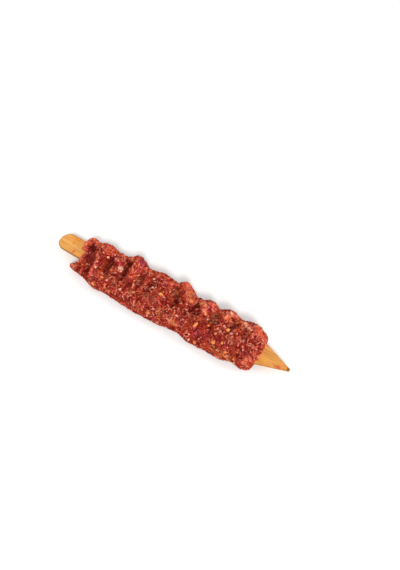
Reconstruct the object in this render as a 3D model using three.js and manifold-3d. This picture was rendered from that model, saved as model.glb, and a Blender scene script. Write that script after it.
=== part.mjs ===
// Kofta skewer: a bar of raw minced meat pressed by hand round a flat wooden skewer.
// Millimetres, +Z up. X runs along the skewer from its round butt to its point, the pinched
// ridge of the meat runs along the +Y side, and the meat lies on its flat underside at z = 0.
// All heights and places below are given with the skewer's centre line on y = 0. The finished
// group is then moved sideways, so that its origin is at the bottom centre of its own box.

import * as THREE from "three";
import { mergeVertices } from "three/addons/utils/BufferGeometryUtils.js";
import Module from "manifold-3d";

const { lerp, clamp, smoothstep, degToRad } = THREE.MathUtils;

// ---------------------------------------------------------------- wooden skewer

const STICK_LENGTH = 250;
const STICK_THICKNESS = 3;
const STICK_UNDERSIDE = 6;
const BUTT_WIDTH = 18.8;
const SHOULDER_WIDTH = 19.8;
const TAPER_LENGTH = 25.5;
const TIP_WIDTH = 2.8;
const STICK_EDGE_ROUND = 0.6;
const STICK_EDGE_STEPS = 2;
const STICK_CURVE_STEPS = 14;
const CHANNEL_GAP = 0.3;

// ---------------------------------------------------------------- bar of meat

const MEAT_START = -89.6;
const MEAT_END = 98.5;
const END_ROUND = 5;
const END_STEPS = 4;
const LENGTH_STEPS = 90;
const SECTION_STEPS = 42;
const UNDERSIDE_STEPS = 5;
const CAP_SCALES = [0.68, 0.36];
const SECTION_CENTRE = { y: -3, z: 7 };

// Front edge of the bar, seen from above: x, y.
const FRONT_EDGE = [
  [-91, -19.5], [-83, -22.2], [-73, -23.4], [-64, -26.6], [-50, -24.5], [-22, -24.7], [-4, -23.8],
  [12, -23], [29, -20.6], [40, -22.6], [64, -20.1], [71, -20.4], [81, -18.6], [89, -19.5], [98, -17.6],
];

// Crest of the pinched ridge: x, y, z.
const CREST = [
  [-92, 12.8, 14.4], [-84, 12.8, 15.6], [-70, 14.6, 18], [-60, 12.8, 14.4], [-52, 13.2, 16.2],
  [-38, 17.8, 20], [-24, 13.2, 14.8], [-8, 14.9, 18.2], [3, 14, 15.8], [15, 18, 19.4],
  [29, 12, 14], [43, 14.4, 18.4], [52, 12.6, 14.8], [62, 15, 18.4], [73, 13, 15.8],
  [86, 14.8, 18], [93, 13.6, 15.6], [98, 13, 13.4],
];

// Cross-section, from the underside's front corner round to its back corner. The front half is
// measured from the front edge and the back half from the crest.
const FRONT_PROFILE = [[3.6, 0], [0.8, 1.4], [0, 3.9], [1.8, 7.3], [5.8, 10.8], [11.8, 13.5]];
const MIDDLE = { y: -2, z: 14.8 };
const RISE = { fromCrest: -7, z: 15.2 };
const BACK_PROFILE = [[-2.4, -0.8], [0, 0], [2.4, -3.4]];
const BACK_EDGE = [[4.2, 5.6], [3.4, 1.6], [0, 0]];

// Dents that the fingers leave in the top, seen from above: centre, half-width and half-length,
// sideways lean of the long way, and depth.
const DENTS = [
  { at: [-86, 3.5], half: [5, 8], lean: -0.3, depth: 7.4 },
  { at: [-79.6, -9.5], half: [3.4, 9], lean: -0.5, depth: 4.4 },
  { at: [-60.5, -0.5], half: [4.6, 9], lean: -0.1, depth: 6.8 },
  { at: [-43.6, 6.5], half: [3.8, 8.5], lean: -0.1, depth: 7 },
  { at: [-46, -5], half: [8, 6], lean: 0, depth: 1.5 },
  { at: [-35, -14], half: [5, 5], lean: 0, depth: 1.2 },
  { at: [-25.5, 4.5], half: [3.6, 6], lean: -0.1, depth: 5 },
  { at: [-13.5, 3.5], half: [3.2, 5.5], lean: 0.1, depth: 5.2 },
  { at: [-23, -8], half: [4, 5], lean: 0.3, depth: 1.5 },
  { at: [2.5, 2], half: [3.4, 5], lean: 0, depth: 1.8 },
  { at: [12.2, 4.5], half: [4.2, 10], lean: -0.25, depth: 6.6 },
  { at: [8, -11], half: [5, 6], lean: 0, depth: 1.4 },
  { at: [32.2, 4], half: [4.8, 6.6], lean: 0.1, depth: 6.8 },
  { at: [51, 4.5], half: [4.8, 7], lean: 0, depth: 6.2 },
  { at: [53.5, -8], half: [4.6, 6], lean: 0, depth: 1.8 },
  { at: [68, 7.5], half: [3.7, 5.4], lean: -0.1, depth: 5.8 },
  { at: [79, 6.5], half: [3.4, 4.6], lean: -0.1, depth: 4.6 },
  { at: [86, -3], half: [4, 6], lean: 0.5, depth: 1.6 },
];

// Meat squeezed up between the fingers, in the same terms.
const SWELLS = [
  { at: [-75.6, -6], half: [2.6, 13], lean: -0.42, depth: 2.8 },
  { at: [-70, 9], half: [3.6, 5], lean: 0, depth: 1.4 },
  { at: [-54.6, 6.6], half: [5, 3.2], lean: -0.4, depth: 3 },
  { at: [-37.6, 6], half: [2.8, 10], lean: 0, depth: 2.8 },
  { at: [-19.5, 4], half: [2.6, 9], lean: 0, depth: 2.2 },
  { at: [-6, 8], half: [3.4, 5], lean: 0.3, depth: 1.8 },
  { at: [4.6, 10], half: [3.4, 5], lean: 0, depth: 1.8 },
  { at: [22, 11], half: [4.6, 6.5], lean: -1.1, depth: 3.4 },
  { at: [38.4, 8], half: [2.8, 7.5], lean: -0.85, depth: 3.4 },
  { at: [43.4, 11], half: [3.2, 4], lean: 0, depth: 1.6 },
  { at: [59.6, 9], half: [3.6, 6], lean: 0, depth: 2.4 },
  { at: [73.4, 7], half: [2.6, 5.5], lean: 0, depth: 2 },
  { at: [85.5, 9], half: [3.6, 5.5], lean: 0, depth: 2 },
  { at: [92, -12], half: [4.6, 6.5], lean: 0, depth: 1.2 },
];
const PRESS_SHARPNESS = 2.6;
const PRESSED_ABOVE = 7.4;
const DEEPEST_PRESS = 8.6;
const PRESS_WANDER = { size: 7, reach: 0.8, salt: 53 };

// Lumps pressed onto the bar: centre, half-sizes and turns in degrees about Z, then Y.
const LUMPS = [
  { name: "butt_floor", at: [-89.6, 6, 8], half: [4.6, 7, 3.6], turn: 0, tilt: 0 },
  { name: "butt_rim", at: [-93.7, 8.6, 10.8], half: [3.3, 6.8, 4.8], turn: 0, tilt: 0 },
  { name: "butt_knob", at: [-93, 2.4, 9.8], half: [3.8, 2.9, 4.2], turn: 0, tilt: 0 },
  { name: "butt_arm", at: [-90, 12.2, 11], half: [5.4, 3.2, 4.2], turn: 4, tilt: 0 },
  { name: "butt_spike", at: [-90.6, -18.2, 4.4], half: [7.6, 3.2, 3.3], turn: -5, tilt: 0 },
  { name: "spike_root", at: [-87.6, -16.6, 6.2], half: [6.2, 5.2, 5.6], turn: 20, tilt: 0 },
  { name: "hanging_roll", at: [19.8, 10.8, 14.4], half: [11.6, 6, 4.8], turn: -31, tilt: 11 },
  { name: "point_lobe", at: [93.2, 10.8, 10.4], half: [5.6, 5.4, 5.2], turn: 0, tilt: 0 },
];
const LUMP_STEPS = { round: 14, high: 10 };

// Relief of the mince: broad waves and rounded lumps, both as heights of the surface.
const WAVES = { size: 17, height: 1.1, salt: 11 };
const CLUMPS = { size: 8, height: 1.3, salt: 23 };
const GRAINS = { size: 4.4, height: 1.1, salt: 37 };
const MEAN_LUMP = 0.6;
const ROOF_OVER_STICK = 0.8;
const ROOF_PAST_STICK = 1;
const ROOF_SOFTNESS = 1.2;
const UNDERSIDE_FADE = 2.2;

// ---------------------------------------------------------------- seeded relief

const HASH = { i: 374761393, j: 668265263, k: 1103515245, salt: 1274126177, mix: 1597334677 };

// The same number from 0 to 1 each time for a cell and a salt.
function randomAt(i, j, k, salt) {
  let bits = Math.imul(i, HASH.i) ^ Math.imul(j, HASH.j) ^ Math.imul(k, HASH.k) ^ Math.imul(salt, HASH.salt);
  bits = Math.imul(bits ^ (bits >>> 13), HASH.mix);
  bits = Math.imul(bits ^ (bits >>> 16), HASH.salt);
  return ((bits ^ (bits >>> 15)) >>> 0) / 2 ** 32;
}

// Smooth random waves, from -1 to 1.
function waves(point, { size, salt }) {
  const cell = point.clone().divideScalar(size).floor();
  const part = point.clone().divideScalar(size).sub(cell);
  const ease = [part.x, part.y, part.z].map((t) => smoothstep(t, 0, 1));
  const corner = (i, j, k) => randomAt(cell.x + i, cell.y + j, cell.z + k, salt);
  const edge = (j, k) => lerp(corner(0, j, k), corner(1, j, k), ease[0]);
  const side = (k) => lerp(edge(0, k), edge(1, k), ease[1]);
  return 2 * lerp(side(0), side(1), ease[2]) - 1;
}

// Rounded lumps, one in each cell: 1 at a lump's middle, falling to 0 in the creases.
function lumps(point, { size, salt }) {
  const cell = point.clone().divideScalar(size).floor();
  const seed = new THREE.Vector3();
  let nearest = Infinity;
  for (let i = -1; i <= 1; i += 1) {
    for (let j = -1; j <= 1; j += 1) {
      for (let k = -1; k <= 1; k += 1) {
        seed.set(cell.x + i, cell.y + j, cell.z + k);
        const jitter = [0, 1, 2].map((axis) => randomAt(seed.x, seed.y, seed.z, salt + axis));
        seed.add(new THREE.Vector3(...jitter)).multiplyScalar(size);
        nearest = Math.min(nearest, seed.distanceTo(point));
      }
    }
  }
  return 1 - Math.min(nearest / size, 1) ** 2;
}

function minceRelief(point) {
  const broad = WAVES.height * waves(point, WAVES);
  const clumped = CLUMPS.height * (lumps(point, CLUMPS) - MEAN_LUMP);
  const grained = GRAINS.height * (lumps(point, GRAINS) - MEAN_LUMP);
  return broad + clumped + grained;
}

// ---------------------------------------------------------------- form of the bar

// A value that follows a list of [x, ...values] with smooth steps between its points.
function follow(points, x, column) {
  const last = points.length - 1;
  const held = clamp(x, points[0][0], points[last][0]);
  const next = Math.max(1, points.findIndex((point) => point[0] >= held));
  const [from, to] = [points[next - 1], points[next]];
  return lerp(from[column], to[column], smoothstep(held, from[0], to[0]));
}

// Height of one dent or swell at a place in plan.
function pressHeight({ at, half, lean, depth }, x, y) {
  const along = y - at[1];
  const across = x - at[0] - lean * along;
  const reach = Math.hypot(across / half[0], along / half[1]);
  return depth * Math.exp(-(reach ** PRESS_SHARPNESS));
}

function fingerRelief(x, y) {
  const wander = PRESS_WANDER.reach * waves(new THREE.Vector3(x, y, 0), PRESS_WANDER);
  const raised = SWELLS.reduce((sum, swell) => sum + pressHeight(swell, x + wander, y), 0);
  return DENTS.reduce((sum, dent) => sum - pressHeight(dent, x + wander, y), raised);
}

// Closed outline of the bar across the skewer at one x, as [y, z] points.
function section(x) {
  const front = follow(FRONT_EDGE, x, 1);
  const crestY = follow(CREST, x, 1);
  const crestZ = follow(CREST, x, 2);
  const knots = [
    ...FRONT_PROFILE.map(([inward, z]) => new THREE.Vector2(front + inward, z)),
    new THREE.Vector2(MIDDLE.y, MIDDLE.z),
    new THREE.Vector2(crestY + RISE.fromCrest, RISE.z),
    ...BACK_PROFILE.map(([outward, rise]) => new THREE.Vector2(crestY + outward, crestZ + rise)),
    ...BACK_EDGE.map(([outward, z]) => new THREE.Vector2(crestY + outward, z)),
  ];
  const outline = new THREE.SplineCurve(knots).getSpacedPoints(SECTION_STEPS);
  outline[0].y = 0;
  outline[SECTION_STEPS].y = 0;
  const [start, end] = [outline[0], outline[SECTION_STEPS]];
  for (let step = 1; step < UNDERSIDE_STEPS; step += 1) {
    outline.push(end.clone().lerp(start, step / UNDERSIDE_STEPS));
  }
  return outline.map((point) => new THREE.Vector2(point.x, Math.max(point.y, 0)));
}

// One ring of the bar: its section at x, drawn in by an inset and then scaled about its middle.
function ring(x, inset, scale) {
  const middle = new THREE.Vector2(SECTION_CENTRE.y, SECTION_CENTRE.z);
  return section(x).map((point) => {
    const pressed = Math.max(point.y + fingerRelief(x, point.x), Math.min(point.y, DEEPEST_PRESS));
    const lifted = point.y > PRESSED_ABOVE ? pressed : point.y;
    const arm = new THREE.Vector2(point.x, lifted).sub(middle);
    arm.setLength(Math.max(arm.length() - inset, 0) * scale).add(middle);
    return new THREE.Vector3(x, arm.x, arm.y);
  });
}

// Rings from the butt end to the point end, with rounded ends and flat caps.
function barRings() {
  const startCap = CAP_SCALES.map((scale) => ring(MEAT_START, END_ROUND, scale)).reverse();
  const endCap = CAP_SCALES.map((scale) => ring(MEAT_END, END_ROUND, scale));
  const rings = [...startCap];
  for (let step = END_STEPS; step > 0; step -= 1) {
    const angle = (step / END_STEPS) * (Math.PI / 2);
    rings.push(ring(MEAT_START + END_ROUND * (1 - Math.sin(angle)), END_ROUND * (1 - Math.cos(angle)), 1));
  }
  for (let step = 0; step <= LENGTH_STEPS; step += 1) {
    rings.push(ring(lerp(MEAT_START + END_ROUND, MEAT_END - END_ROUND, step / LENGTH_STEPS), 0, 1));
  }
  for (let step = 1; step <= END_STEPS; step += 1) {
    const angle = (step / END_STEPS) * (Math.PI / 2);
    rings.push(ring(MEAT_END - END_ROUND * (1 - Math.sin(angle)), END_ROUND * (1 - Math.cos(angle)), 1));
  }
  return [...rings, ...endCap];
}

// Closed skin over a row of rings, with a fan at each end.
function skin(rings) {
  const size = rings[0].length;
  const points = rings.flat();
  const firstPole = points.length;
  const lastPole = firstPole + 1;
  points.push(average(rings[0]), average(rings[rings.length - 1]));
  const faces = [];
  for (let row = 0; row < rings.length - 1; row += 1) {
    for (let column = 0; column < size; column += 1) {
      const a = row * size + column;
      const b = row * size + ((column + 1) % size);
      faces.push(a, a + size, b, b, a + size, b + size);
    }
  }
  const lastRow = (rings.length - 1) * size;
  for (let column = 0; column < size; column += 1) {
    const next = (column + 1) % size;
    faces.push(firstPole, column, next, lastPole, lastRow + next, lastRow + column);
  }
  const geometry = new THREE.BufferGeometry().setFromPoints(points);
  geometry.setIndex(faces);
  return geometry;
}

function average(points) {
  return points.reduce((sum, point) => sum.add(point), new THREE.Vector3()).divideScalar(points.length);
}

// Height of the top face, held softly above the roof of meat that covers the skewer.
function overRoof(point) {
  const roof = STICK_UNDERSIDE + STICK_THICKNESS + CHANNEL_GAP + ROOF_OVER_STICK;
  const overSkewer = Math.abs(point.y) < SHOULDER_WIDTH / 2 + ROOF_PAST_STICK;
  const spare = (point.z - roof) / ROOF_SOFTNESS;
  return overSkewer && spare < 1 ? roof + ROOF_SOFTNESS * Math.exp(spare - 1) : point.z;
}

// Pushes a surface in and out along its normals. It stays flat on the underside.
function roughen(geometry) {
  geometry.computeVertexNormals();
  const position = geometry.getAttribute("position");
  const normal = geometry.getAttribute("normal");
  for (let index = 0; index < position.count; index += 1) {
    const point = new THREE.Vector3().fromBufferAttribute(position, index);
    const outward = new THREE.Vector3().fromBufferAttribute(normal, index);
    const height = minceRelief(point) * smoothstep(point.z, 0, UNDERSIDE_FADE);
    const onTop = outward.z > 0 && point.z > PRESSED_ABOVE;
    point.addScaledVector(outward, height);
    position.setXYZ(index, point.x, point.y, onTop ? overRoof(point) : Math.max(point.z, 0));
  }
  return geometry;
}

function lumpShape({ at, half, turn, tilt }) {
  const shape = new THREE.SphereGeometry(1, LUMP_STEPS.round, LUMP_STEPS.high);
  shape.rotateY(Math.PI / 2).scale(...half).rotateY(degToRad(tilt)).rotateZ(degToRad(turn));
  return shape.translate(...at);
}

// ---------------------------------------------------------------- joining and cutting

const WELD_DISTANCE = 1e-4;

const manifold = await Module();
manifold.setup();

function welded(geometry) {
  const bare = geometry.clone();
  bare.deleteAttribute("normal");
  bare.deleteAttribute("uv");
  return mergeVertices(bare, WELD_DISTANCE);
}

function toManifold(geometry) {
  const mesh = welded(geometry);
  const vertProperties = new Float32Array(mesh.getAttribute("position").array);
  const triVerts = new Uint32Array(mesh.getIndex().array);
  return new manifold.Manifold(new manifold.Mesh({ numProp: 3, vertProperties, triVerts }));
}

function toGeometry(solid) {
  const { vertProperties, triVerts } = solid.getMesh();
  const geometry = new THREE.BufferGeometry();
  geometry.setAttribute("position", new THREE.BufferAttribute(vertProperties, 3));
  geometry.setIndex(new THREE.BufferAttribute(triVerts, 1));
  geometry.computeVertexNormals();
  return geometry;
}

// ---------------------------------------------------------------- sub-parts

// Flat blade with a half-round butt and a tapered blunt point, grown all round by a margin.
function bladeShape(margin) {
  const buttX = -STICK_LENGTH / 2;
  const tipX = STICK_LENGTH / 2;
  const shoulderX = tipX - TAPER_LENGTH;
  const buttHalf = BUTT_WIDTH / 2 + margin;
  const shoulderHalf = SHOULDER_WIDTH / 2 + margin;
  const tipHalf = TIP_WIDTH / 2 + margin;
  const shape = new THREE.Shape();
  shape.moveTo(buttX + BUTT_WIDTH / 2, -buttHalf);
  shape.lineTo(shoulderX, -shoulderHalf);
  shape.lineTo(tipX - TIP_WIDTH / 2, -tipHalf);
  shape.absarc(tipX - TIP_WIDTH / 2, 0, tipHalf, -Math.PI / 2, Math.PI / 2);
  shape.lineTo(shoulderX, shoulderHalf);
  shape.lineTo(buttX + BUTT_WIDTH / 2, buttHalf);
  shape.absarc(buttX + BUTT_WIDTH / 2, 0, buttHalf, Math.PI / 2, (3 * Math.PI) / 2);
  return shape;
}

function stickGeometry() {
  const blade = new THREE.ExtrudeGeometry(bladeShape(0), {
    depth: STICK_THICKNESS - 2 * STICK_EDGE_ROUND,
    curveSegments: STICK_CURVE_STEPS,
    bevelThickness: STICK_EDGE_ROUND,
    bevelSize: STICK_EDGE_ROUND,
    bevelOffset: -STICK_EDGE_ROUND,
    bevelSegments: STICK_EDGE_STEPS,
  });
  return blade.translate(0, 0, STICK_UNDERSIDE + STICK_EDGE_ROUND);
}

function channelGeometry() {
  const channel = new THREE.ExtrudeGeometry(bladeShape(CHANNEL_GAP), {
    depth: STICK_THICKNESS + 2 * CHANNEL_GAP,
    curveSegments: STICK_CURVE_STEPS,
    bevelEnabled: false,
  });
  return channel.translate(0, 0, STICK_UNDERSIDE - CHANNEL_GAP);
}

// The bar with its lumps, cut through for the skewer. Scraps that the cut leaves loose are dropped.
function meatGeometry() {
  const bar = toManifold(roughen(skin(barRings())));
  const pressedOn = LUMPS.map((lump) => toManifold(roughen(welded(lumpShape(lump)))));
  const whole = pressedOn.reduce((sum, lump) => sum.add(lump), bar);
  const pieces = whole.subtract(toManifold(channelGeometry())).decompose();
  const [largest] = pieces.sort((a, b) => b.volume() - a.volume());
  return toGeometry(largest);
}

function namedMesh(name, geometry, material) {
  const mesh = new THREE.Mesh(geometry, material);
  mesh.name = name;
  return mesh;
}

const rawMince = new THREE.MeshStandardMaterial({ color: 0xa44231, roughness: 0.42, metalness: 0 });
const paleWood = new THREE.MeshStandardMaterial({ color: 0xeba558, roughness: 0.7, metalness: 0 });

const skewer = new THREE.Group();
skewer.add(namedMesh("meat", meatGeometry(), rawMince));
skewer.add(namedMesh("stick", stickGeometry(), paleWood));

const middle = new THREE.Box3().setFromObject(skewer).getCenter(new THREE.Vector3());
skewer.position.set(-middle.x, -middle.y, 0);

export default skewer;
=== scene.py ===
"""Looks of the kofta skewer: raw mince pressed round a flat wooden stick, lit as in a bright studio.

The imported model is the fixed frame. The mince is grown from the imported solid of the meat: its
skin is made fine, covered with rounded grains, and set with bits of fat, pepper and sinew.
Lengths are metres, and MM turns millimetres into them.
"""

import math
from itertools import product

import bmesh
import bpy
import numpy as np
from mathutils import Matrix, Vector, noise
from mathutils.bvhtree import BVHTree
from mathutils.kdtree import KDTree


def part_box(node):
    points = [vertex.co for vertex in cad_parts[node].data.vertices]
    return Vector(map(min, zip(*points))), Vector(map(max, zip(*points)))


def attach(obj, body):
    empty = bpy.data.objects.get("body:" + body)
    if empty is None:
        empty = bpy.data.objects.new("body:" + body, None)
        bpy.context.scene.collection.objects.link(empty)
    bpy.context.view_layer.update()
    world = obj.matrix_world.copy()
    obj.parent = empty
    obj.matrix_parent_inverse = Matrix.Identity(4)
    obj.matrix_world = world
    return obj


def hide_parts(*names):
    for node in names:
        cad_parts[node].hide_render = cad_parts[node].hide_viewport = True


MM = 0.001

# ------------ the frame

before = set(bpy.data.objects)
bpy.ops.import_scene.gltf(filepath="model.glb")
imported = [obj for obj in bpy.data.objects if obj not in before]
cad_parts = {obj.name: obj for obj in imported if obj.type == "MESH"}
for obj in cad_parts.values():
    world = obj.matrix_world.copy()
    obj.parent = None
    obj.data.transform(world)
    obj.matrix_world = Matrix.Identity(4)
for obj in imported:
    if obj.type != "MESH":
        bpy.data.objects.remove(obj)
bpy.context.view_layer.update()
STICK_LOW, STICK_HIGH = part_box("stick")
MEAT_LOW, MEAT_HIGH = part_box("meat")
STICK_MIDDLE = (STICK_LOW + STICK_HIGH) / 2


def new_object(name, data):
    piece = bpy.data.objects.new(name, data)
    bpy.context.scene.collection.objects.link(piece)
    return piece


def place(x, y, z=0.0):
    """A point given in millimetres along and across the stick, and up from the floor."""
    return Vector((STICK_MIDDLE.x + x * MM, STICK_MIDDLE.y + y * MM, z * MM))


# ------------ camera

CAMERA_AT = place(117.15, -101.56, 290.5)
CAMERA_AIM = place(22.73, 26.46, 9.0)
CAMERA_ROLL = math.radians(-3.89)
# Lens and longer side of the sensor, both in mm.
CAMERA_LENS = 22.56
CAMERA_SENSOR = 36.0
CAMERA_NEAR = 10 * MM
# The view is shifted up by one row of a picture that is 570 rows high.
CAMERA_RISE = 1 / 570


def add_camera():
    data = bpy.data.cameras.new("camera")
    data.sensor_width = CAMERA_SENSOR
    data.lens = CAMERA_LENS
    data.shift_y = CAMERA_RISE
    data.clip_start = CAMERA_NEAR
    camera = new_object("camera", data)
    turn = (CAMERA_AIM - CAMERA_AT).to_track_quat("-Z", "Y").to_matrix().to_4x4()
    camera.matrix_world = Matrix.Translation(CAMERA_AT) @ turn @ Matrix.Rotation(CAMERA_ROLL, 4, "Z")
    bpy.context.scene.camera = camera


# ------------ lights and floor

WHITE = (1.0, 1.0, 1.0)
FLOOR_COLOUR = (0.93, 0.93, 0.93, 1.0)
FLOOR_SIZE = 6.0
FLOOR_ROUGHNESS = 0.6
WORLD_STRENGTH = 0.55
LIGHTS = [
    # name, azimuth and height, angle across, all in degrees, strength, colour, whether it is mirrored
    ("key", 312, 44, 20.0, 2.34, (1.0, 0.985, 0.96), False),
    ("right", 30, 24, 20.0, 1.23, (1.0, 0.97, 0.93), False),
    ("left", 150, 20, 32.0, 0.65, (1.0, 0.97, 0.93), False),
    ("glint", 330, 56, 5.0, 0.11, (1.0, 1.0, 1.0), True),
]


def add_light(name, azimuth, height, width, strength, colour, mirrored):
    """A far soft light that shines on the middle of the stick; azimuth 0 is the side of its point."""
    around = math.radians(azimuth)
    up = math.radians(height)
    arm = Vector((math.cos(up) * math.cos(around), math.cos(up) * math.sin(around), math.sin(up)))
    data = bpy.data.lights.new(name, "SUN")
    data.angle = math.radians(width)
    data.energy = strength
    data.color = colour
    light = new_object(name, data)
    light.location = place(0, 0) + arm
    light.rotation_euler = (-arm).to_track_quat("-Z", "Y").to_euler()
    light.visible_glossy = mirrored


def add_world():
    world = bpy.data.worlds.new("studio")
    world.use_nodes = True
    background = world.node_tree.nodes["Background"]
    background.inputs["Color"].default_value = (*WHITE, 1.0)
    background.inputs["Strength"].default_value = WORLD_STRENGTH
    world.cycles_visibility.glossy = False
    bpy.context.scene.world = world
    bpy.context.scene.view_settings.view_transform = "Standard"
    bpy.context.scene.view_settings.look = "None"


def add_floor():
    half = FLOOR_SIZE / 2
    corners = [(-half, -half, 0), (half, -half, 0), (half, half, 0), (-half, half, 0)]
    mesh = bpy.data.meshes.new("floor")
    mesh.from_pydata(corners, [], [(0, 1, 2, 3)])
    floor = new_object("floor", mesh)
    material, shader, _ = new_material("floor_white")
    shader.inputs["Base Color"].default_value = FLOOR_COLOUR
    shader.inputs["Roughness"].default_value = FLOOR_ROUGHNESS
    mesh.materials.append(material)
    floor.visible_glossy = False


# ------------ node helpers

# Noise of this scale shifts the outline of a spot along and across the stick, within this range.
SPOT_RIPPLE = Vector((6 * MM, 3 * MM, 0.0))
SPOT_RIPPLE_SCALE = 260.0
SPOT_SOFTNESS = 0.4


def new_material(name):
    """A material with its shader, and the helper that adds nodes to it."""
    material = bpy.data.materials.new(name)
    material.use_nodes = True
    tree = material.node_tree
    return material, tree.nodes["Principled BSDF"], Nodes(tree)


class Nodes:
    """Short ways to add and join the nodes of one material."""

    def __init__(self, tree):
        self.tree = tree

    def add(self, kind, inputs=None, **settings):
        node = self.tree.nodes.new(kind)
        for key, value in settings.items():
            setattr(node, key, value)
        for key, value in (inputs or {}).items():
            self.feed(node.inputs[key], value)
        return node

    def feed(self, socket, value):
        """Joins a socket to another node's output, or gives it a plain value."""
        if isinstance(value, bpy.types.NodeSocket):
            self.tree.links.new(value, socket)
        else:
            socket.default_value = value

    def attribute(self, name):
        return self.add("ShaderNodeAttribute", attribute_name=name).outputs["Fac"]

    def position(self, scale=(1.0, 1.0, 1.0)):
        """Place on the object in metres, each axis times its own scale."""
        coordinates = self.add("ShaderNodeTexCoord").outputs["Object"]
        mapping = self.add("ShaderNodeMapping", {"Vector": coordinates, "Scale": scale})
        return mapping.outputs["Vector"]

    def noise(self, vector, scale, detail=2.0, roughness=0.5):
        settings = {"Vector": vector, "Scale": scale, "Detail": detail, "Roughness": roughness}
        return self.add("ShaderNodeTexNoise", settings).outputs["Fac"]

    def ramp(self, value, stops):
        node = self.add("ShaderNodeValToRGB", {"Fac": value})
        elements = node.color_ramp.elements
        while len(elements) < len(stops):
            elements.new(0.5)
        for element, (spot, colour) in zip(elements, stops):
            element.position = spot
            element.color = (*colour, 1.0)
        return node.outputs["Color"]

    def mix(self, share, first, second, blend_type="MIX"):
        node = self.add("ShaderNodeMix", data_type="RGBA", blend_type=blend_type)
        self.feed(node.inputs[0], share)
        for socket, value in ((node.inputs[6], first), (node.inputs[7], second)):
            self.feed(socket, (*value, 1.0) if isinstance(value, tuple) else value)
        return node.outputs[2]

    def span(self, value, low, high, to_low=0.0, to_high=1.0):
        """A value stretched from one range to another, and held inside it."""
        settings = {"Value": value, "From Min": low, "From Max": high, "To Min": to_low, "To Max": to_high}
        return self.add("ShaderNodeMapRange", settings).outputs["Result"]

    def maths(self, operation, first, second=0.0):
        node = self.add("ShaderNodeMath", operation=operation)
        self.feed(node.inputs[0], first)
        self.feed(node.inputs[1], second)
        return node.outputs[0]

    def spot(self, centre, radius):
        """1 within a radius of a point of the object, falling softly to 0 outside it."""
        vector = self.add("ShaderNodeTexCoord").outputs["Object"]
        settings = {"Vector": vector, "Scale": SPOT_RIPPLE_SCALE, "Detail": 2.0}
        ripple = self.add("ShaderNodeTexNoise", settings)
        shifted = self.add("ShaderNodeVectorMath", operation="MULTIPLY_ADD")
        self.feed(shifted.inputs[0], ripple.outputs["Color"])
        shifted.inputs[1].default_value = SPOT_RIPPLE
        self.feed(shifted.inputs[2], vector)
        distance = self.add("ShaderNodeVectorMath", operation="DISTANCE")
        self.feed(distance.inputs[0], shifted.outputs[0])
        distance.inputs[1].default_value = centre + SPOT_RIPPLE / 2
        outer = radius * (1 + SPOT_SOFTNESS)
        inner = radius * (1 - SPOT_SOFTNESS)
        return self.span(distance.outputs["Value"], outer, inner)

    def bump(self, height, distance, strength):
        node = self.add("ShaderNodeBump", {"Height": height, "Distance": distance, "Strength": strength})
        return node.outputs["Normal"]


# ------------ fine skin of the meat

VOXEL = 0.535 * MM
SMOOTH_ROUNDS = 23
# A block fills the channel inside the meat: its ends along the stick in mm, and how far it reaches
# past the stick's sides.
PLUG_ENDS = (-90.4, 97.4)
PLUG_MARGIN = 0.5 * MM
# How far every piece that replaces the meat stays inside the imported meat's box.
BOX_MARGIN = 0.05 * MM
SEED = 15
# Blender's vector noise takes its seed from the clock unless it is given one.
NOISE_SEED = 4
# Shortest vector that still has a direction.
TINY = 1e-9


def mesh_from_arrays(name, points, faces):
    mesh = bpy.data.meshes.new(name)
    mesh.from_pydata([tuple(point) for point in points], [], [tuple(face) for face in faces])
    return mesh


def rows_of(items, field, width, kind=float):
    """One row of numbers for each item, such as each vertex of a mesh."""
    flat = np.zeros(len(items) * width, dtype=kind)
    items.foreach_get(field, flat)
    return flat.reshape(-1, width)


def mesh_points(mesh):
    return rows_of(mesh.vertices, "co", 3)


def mesh_normals(mesh):
    return rows_of(mesh.vertex_normals, "vector", 3)


def mesh_edges(mesh):
    return rows_of(mesh.edges, "vertices", 2, np.int32)


def set_points(mesh, points):
    mesh.vertices.foreach_set("co", np.ascontiguousarray(points).ravel())
    mesh.update()


def channel_plug():
    """A block that fills the channel inside the meat, so that only the outer skin is kept."""
    low = Vector((place(PLUG_ENDS[0], 0).x, STICK_LOW.y - PLUG_MARGIN, STICK_LOW.z - PLUG_MARGIN))
    high = Vector((place(PLUG_ENDS[1], 0).x, STICK_HIGH.y + PLUG_MARGIN, STICK_HIGH.z + PLUG_MARGIN))
    corners = [(x, y, z) for x in (low.x, high.x) for y in (low.y, high.y) for z in (low.z, high.z)]
    faces = [(0, 1, 3, 2), (4, 6, 7, 5), (0, 4, 5, 1), (2, 3, 7, 6), (0, 2, 6, 4), (1, 5, 7, 3)]
    return corners, faces


def remeshed_meat(name, voxel):
    """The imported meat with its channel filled, as an even mesh of small faces."""
    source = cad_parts["meat"].data
    points = [tuple(vertex.co) for vertex in source.vertices]
    faces = [tuple(polygon.vertices) for polygon in source.polygons]
    plug_points, plug_faces = channel_plug()
    faces += [tuple(index + len(points) for index in face) for face in plug_faces]
    piece = new_object(name, mesh_from_arrays(name, points + plug_points, faces))
    remesh = piece.modifiers.new("even", "REMESH")
    remesh.mode = "VOXEL"
    remesh.voxel_size = voxel
    evaluated = piece.evaluated_get(bpy.context.evaluated_depsgraph_get())
    mesh = bpy.data.meshes.new_from_object(evaluated)
    piece.modifiers.clear()
    piece.data = mesh
    mesh.name = name
    return piece


def smoothed(points, edges, rounds):
    """Points moved again and again, half way to the mean of their neighbours."""
    count = len(points)
    both = np.concatenate([edges, edges[:, ::-1]])
    degree = np.bincount(both[:, 0], minlength=count)[:, None]
    for _ in range(rounds):
        columns = [np.bincount(both[:, 0], points[both[:, 1], axis], count) for axis in range(3)]
        points = 0.5 * points + 0.5 * np.stack(columns, axis=1) / degree
    return points


# ------------ grains of mince

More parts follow.
